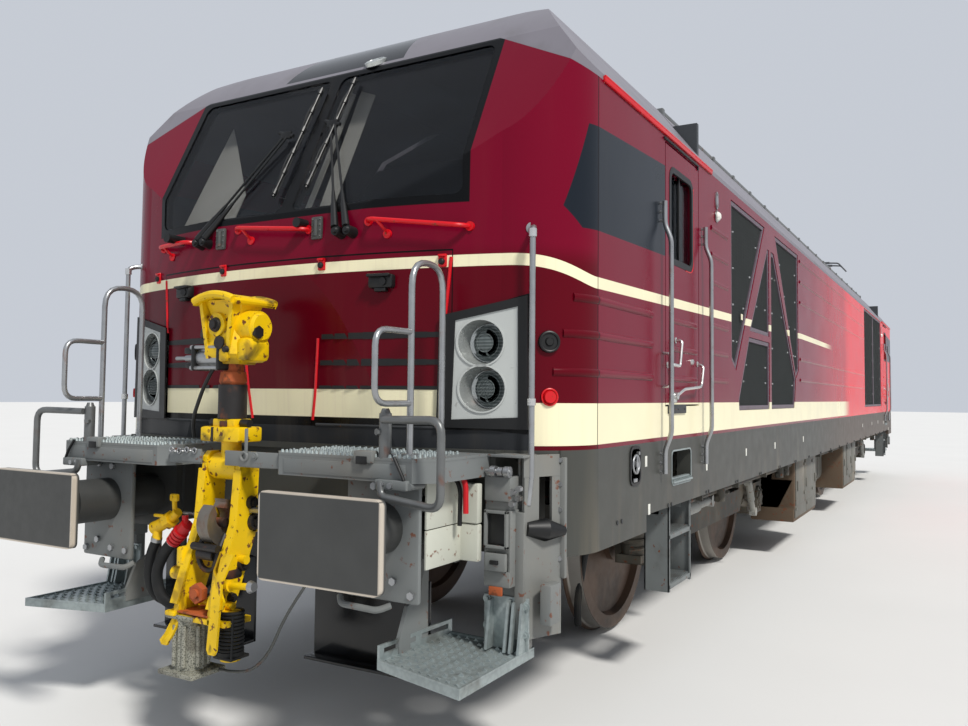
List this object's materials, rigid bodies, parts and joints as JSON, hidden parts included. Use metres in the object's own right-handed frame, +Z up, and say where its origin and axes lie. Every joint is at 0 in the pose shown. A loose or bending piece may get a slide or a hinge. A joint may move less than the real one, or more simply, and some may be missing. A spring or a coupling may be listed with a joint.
{
  "type": "dual-mode diesel locomotive",
  "caption": "Main-line dual-mode diesel locomotive with cabs at both ends, shunting couplers that fold down, bogies, pantograph and hinged cab doors.",
  "frame": {"origin": "centre of the locomotive at the height of the flange bottoms, 28 mm below the top of the rail", "axes": "+X towards cab 1, +Y to its left side, +Z up"},
  "size_m": [18.98, 3.14, 4.3129],
  "materials": {
    "body_paint": "gloss crimson with cream bands",
    "roof_grey": "satin grey",
    "frame_grey": "dusty dark grey",
    "glass": "tinted clear",
    "lamp_grey": "light grey with clear lenses",
    "cab_plastic": "matt dark grey",
    "buffer_steel": "dark grey, worn and rusty faces",
    "signal_yellow": "yellow with rust and grease",
    "bare_steel": "bare worn steel",
    "step_grey": "grey, anti-slip top",
    "rail_steel": "dull steel",
    "black_plastic": "matt black",
    "bogie_grey": "dusty grey-brown",
    "grille_black": "dark slate mesh",
    "engine_iron": "grey paint",
    "wheel_steel": "rusty brown web, bright tread",
    "axle_steel": "dusty dark steel",
    "panto_grey": "grey"
  },
  "bodies": {
    "carbody": {"underframe": "frame_grey", "cab_shell_front": "body_paint", "cab_shell_rear": "body_paint", "cab_roof_front": "roof_grey", "cab_roof_rear": "roof_grey", "windscreen_front": "glass", "windscreen_rear": "glass", "headlamps_front": "lamp_grey", "headlamps_rear": "lamp_grey", "cab_interior_front": "cab_plastic", "cab_interior_rear": "cab_plastic", "buffers_front": "buffer_steel", "buffers_rear": "buffer_steel", "coupler_frame_front": "signal_yellow", "coupler_frame_rear": "signal_yellow", "draw_hook_front": "bare_steel", "draw_hook_rear": "bare_steel", "end_platform_front": "step_grey", "end_platform_rear": "step_grey", "grab_rails_front": "rail_steel", "grab_rails_rear": "rail_steel", "end_steps_front": "step_grey", "end_steps_rear": "step_grey", "door_steps_front": "rail_steel", "door_steps_rear": "rail_steel", "wipers_front": "black_plastic", "wipers_rear": "black_plastic", "side_wall_left": "body_paint", "side_wall_right": "body_paint", "side_grilles_left": "grille_black", "side_grilles_right": "grille_black", "roof_centre": "roof_grey", "engine_block": "engine_iron", "fuel_tank": "frame_grey", "pantograph_base": "panto_grey", "roof_gear": "black_plastic"},
    "bogie_1": {"bogie_frame_front": "bogie_grey", "running_gear_front": "bogie_grey"},
    "bogie_2": {"bogie_frame_rear": "bogie_grey", "running_gear_rear": "bogie_grey"},
    "door_front_left": {"door_front_left": "body_paint"},
    "door_front_right": {"door_front_right": "body_paint"},
    "door_rear_left": {"door_rear_left": "body_paint"},
    "door_rear_right": {"door_rear_right": "body_paint"},
    "coupler_arm_front": {"coupler_arm_front": "signal_yellow"},
    "coupler_arm_rear": {"coupler_arm_rear": "signal_yellow"},
    "wheelset_1": {"wheelset_1": "wheel_steel", "axle_1": "axle_steel"},
    "wheelset_2": {"wheelset_2": "wheel_steel", "axle_2": "axle_steel"},
    "wheelset_3": {"wheelset_3": "wheel_steel", "axle_3": "axle_steel"},
    "wheelset_4": {"wheelset_4": "wheel_steel", "axle_4": "axle_steel"},
    "pantograph_lower_arm": {"pantograph_lower_arm": "panto_grey"},
    "pantograph_upper_arm": {"pantograph_upper_arm": "panto_grey"},
    "pantograph_head": {"pantograph_head": "panto_grey"}
  },
  "joints": [
    {"name": "bogie_1_yaw", "type": "hinge", "parent": "carbody", "child": "bogie_1", "pos_m": [4.75, 0, 0.8], "axis": [0, 0, 1], "range_deg": [-4, 4]},
    {"name": "bogie_2_yaw", "type": "hinge", "parent": "carbody", "child": "bogie_2", "pos_m": [-4.75, 0, 0.8], "axis": [0, 0, 1], "range_deg": [-4, 4]},
    {"name": "wheelset_1_spin", "type": "hinge", "parent": "bogie_1", "child": "wheelset_1", "pos_m": [6.25, 0, 0.653], "axis": [0, 1, 0], "continuous": true},
    {"name": "wheelset_2_spin", "type": "hinge", "parent": "bogie_1", "child": "wheelset_2", "pos_m": [3.25, 0, 0.653], "axis": [0, 1, 0], "continuous": true},
    {"name": "wheelset_3_spin", "type": "hinge", "parent": "bogie_2", "child": "wheelset_3", "pos_m": [-3.25, 0, 0.653], "axis": [0, 1, 0], "continuous": true},
    {"name": "wheelset_4_spin", "type": "hinge", "parent": "bogie_2", "child": "wheelset_4", "pos_m": [-6.25, 0, 0.653], "axis": [0, 1, 0], "continuous": true},
    {"name": "door_front_left_open", "type": "hinge", "parent": "carbody", "child": "door_front_left", "pos_m": [7.294, 1.425, 2.3], "axis": [0, 0, 1], "range_deg": [0, 85]},
    {"name": "door_front_right_open", "type": "hinge", "parent": "carbody", "child": "door_front_right", "pos_m": [7.294, -1.425, 2.3], "axis": [0, 0, -1], "range_deg": [0, 85]},
    {"name": "door_rear_left_open", "type": "hinge", "parent": "carbody", "child": "door_rear_left", "pos_m": [-7.294, 1.425, 2.3], "axis": [0, 0, -1], "range_deg": [0, 85]},
    {"name": "door_rear_right_open", "type": "hinge", "parent": "carbody", "child": "door_rear_right", "pos_m": [-7.294, -1.425, 2.3], "axis": [0, 0, 1], "range_deg": [0, 85]},
    {"name": "coupler_arm_front_fold", "type": "hinge", "parent": "carbody", "child": "coupler_arm_front", "pos_m": [9.08, 0, 1.288], "axis": [0, 1, 0], "range_deg": [0, 88]},
    {"name": "coupler_arm_rear_fold", "type": "hinge", "parent": "carbody", "child": "coupler_arm_rear", "pos_m": [-9.08, 0, 1.288], "axis": [0, -1, 0], "range_deg": [0, 88]},
    {"name": "pantograph_raise", "type": "hinge", "parent": "carbody", "child": "pantograph_lower_arm", "pos_m": [-6, 0, 4.038], "axis": [0, -1, 0], "range_deg": [0, 40]},
    {"name": "pantograph_knee", "type": "hinge", "parent": "pantograph_lower_arm", "child": "pantograph_upper_arm", "pos_m": [-4.2, 0, 4.128], "axis": [0, 1, 0], "range_deg": [0, 80]},
    {"name": "pantograph_head_level", "type": "hinge", "parent": "pantograph_upper_arm", "child": "pantograph_head", "pos_m": [-5.95, 0, 4.218], "axis": [0, -1, 0], "range_deg": [0, 40]}
  ],
  "couplings": [
    {"joint": "pantograph_knee", "follows": "pantograph_raise", "ratio": 2},
    {"joint": "pantograph_head_level", "follows": "pantograph_raise", "ratio": 1}
  ]
}
